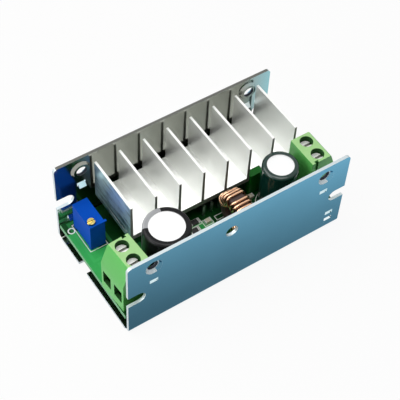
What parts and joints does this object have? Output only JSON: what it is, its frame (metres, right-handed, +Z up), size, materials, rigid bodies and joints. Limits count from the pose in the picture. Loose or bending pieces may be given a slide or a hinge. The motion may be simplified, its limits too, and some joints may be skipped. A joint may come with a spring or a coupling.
{
  "type": "voltage regulator module",
  "caption": "Circuit module in a folded metal channel: finned heatsink, screw terminals at both ends, upright capacitors, wound toroid and an adjusting trimmer.",
  "frame": {"origin": "centre of the channel's underside", "axes": "+X along the channel from the input terminals to the output terminals, +Y from the front wall to the rear wall, +Z up out of the open channel"},
  "size_m": [0.0715, 0.038, 0.03],
  "materials": {
    "bright_sheet": "bright",
    "board_green": "glossy",
    "solder": "bright",
    "heatsink_aluminium": "satin",
    "screw_steel": "bright",
    "pad_grey": "matte",
    "bush_white": "matte",
    "case_black": "matte",
    "tinned_metal": "bright",
    "block_green": "satin",
    "clamp_metal": "satin",
    "sleeve_black": "glossy",
    "sleeve_green": "glossy",
    "can_aluminium": "satin",
    "bung_rubber": "matte",
    "roll_paper": "matte",
    "core_dark": "matte",
    "winding_copper": "glossy",
    "choke_green": "glossy",
    "trimmer_blue": "satin",
    "trimmer_brass": "bright",
    "chip_tan": "matte"
  },
  "bodies": {
    "module": {"housing": "bright_sheet", "circuit_board": "board_green", "solder_joints": "solder", "heatsink": "heatsink_aluminium", "heatsink_screws": "screw_steel", "thermal_pads": "pad_grey", "insulating_bushes": "bush_white", "transistor_case": "case_black", "transistor_leadframe": "tinned_metal", "rectifier_case": "case_black", "rectifier_leadframe": "tinned_metal", "input_terminal_block": "block_green", "input_terminal_pins": "tinned_metal", "output_terminal_block": "block_green", "output_terminal_pins": "tinned_metal", "large_capacitor_sleeve": "sleeve_black", "large_capacitor_can": "can_aluminium", "large_capacitor_bung": "bung_rubber", "large_capacitor_roll": "roll_paper", "large_capacitor_leads": "tinned_metal", "small_capacitor_sleeve": "sleeve_green", "small_capacitor_can": "can_aluminium", "small_capacitor_bung": "bung_rubber", "small_capacitor_roll": "roll_paper", "small_capacitor_leads": "tinned_metal", "inductor_core": "core_dark", "inductor_winding": "winding_copper", "choke_body": "choke_green", "choke_lead": "tinned_metal", "trimmer_case": "trimmer_blue", "trimmer_pins": "tinned_metal", "controller_chip": "case_black", "controller_leads": "tinned_metal", "chip_resistors": "case_black", "chip_capacitors": "chip_tan", "chip_ends": "tinned_metal"},
    "input_rear_screw": {"input_screw_rear": "screw_steel"},
    "input_front_screw": {"input_screw_front": "screw_steel"},
    "output_rear_screw": {"output_screw_rear": "screw_steel"},
    "output_front_screw": {"output_screw_front": "screw_steel"},
    "input_rear_clamp": {"input_clamp_rear": "clamp_metal"},
    "input_front_clamp": {"input_clamp_front": "clamp_metal"},
    "output_rear_clamp": {"output_clamp_rear": "clamp_metal"},
    "output_front_clamp": {"output_clamp_front": "clamp_metal"},
    "trimmer_adjuster": {"trimmer_screw": "trimmer_brass"}
  },
  "joints": [
    {"name": "input_rear_screw_turn", "type": "hinge", "parent": "module", "child": "input_rear_screw", "pos_m": [-0.03014, -0.00824, 0.0204], "axis": [0, 0, -1], "range_deg": [0, 2800]},
    {"name": "input_front_screw_turn", "type": "hinge", "parent": "module", "child": "input_front_screw", "pos_m": [-0.02986, -0.01332, 0.0204], "axis": [0, 0, -1], "range_deg": [0, 2800]},
    {"name": "output_rear_screw_turn", "type": "hinge", "parent": "module", "child": "output_rear_screw", "pos_m": [0.0312, -0.00508, 0.0204], "axis": [0, 0, -1], "range_deg": [0, 2800]},
    {"name": "output_front_screw_turn", "type": "hinge", "parent": "module", "child": "output_front_screw", "pos_m": [0.0312, -0.01016, 0.0204], "axis": [0, 0, -1], "range_deg": [0, 2800]},
    {"name": "input_rear_clamp_lift", "type": "slide", "parent": "module", "child": "input_rear_clamp", "axis": [0, 0, 1], "range_m": [0, 0.0035]},
    {"name": "input_front_clamp_lift", "type": "slide", "parent": "module", "child": "input_front_clamp", "axis": [0, 0, 1], "range_m": [0, 0.0035]},
    {"name": "output_rear_clamp_lift", "type": "slide", "parent": "module", "child": "output_rear_clamp", "axis": [0, 0, 1], "range_m": [0, 0.0035]},
    {"name": "output_front_clamp_lift", "type": "slide", "parent": "module", "child": "output_front_clamp", "axis": [0, 0, 1], "range_m": [0, 0.0035]},
    {"name": "trimmer_screw_turn", "type": "hinge", "parent": "module", "child": "trimmer_adjuster", "pos_m": [-0.03065, 0.00697, 0.017], "axis": [0, 0, -1], "continuous": true}
  ],
  "couplings": [
    {"joint": "input_rear_screw_turn", "follows": "input_rear_clamp_lift", "rad_per_m": 13963},
    {"joint": "input_front_screw_turn", "follows": "input_front_clamp_lift", "rad_per_m": 13963},
    {"joint": "output_rear_screw_turn", "follows": "output_rear_clamp_lift", "rad_per_m": 13963},
    {"joint": "output_front_screw_turn", "follows": "output_front_clamp_lift", "rad_per_m": 13963}
  ]
}
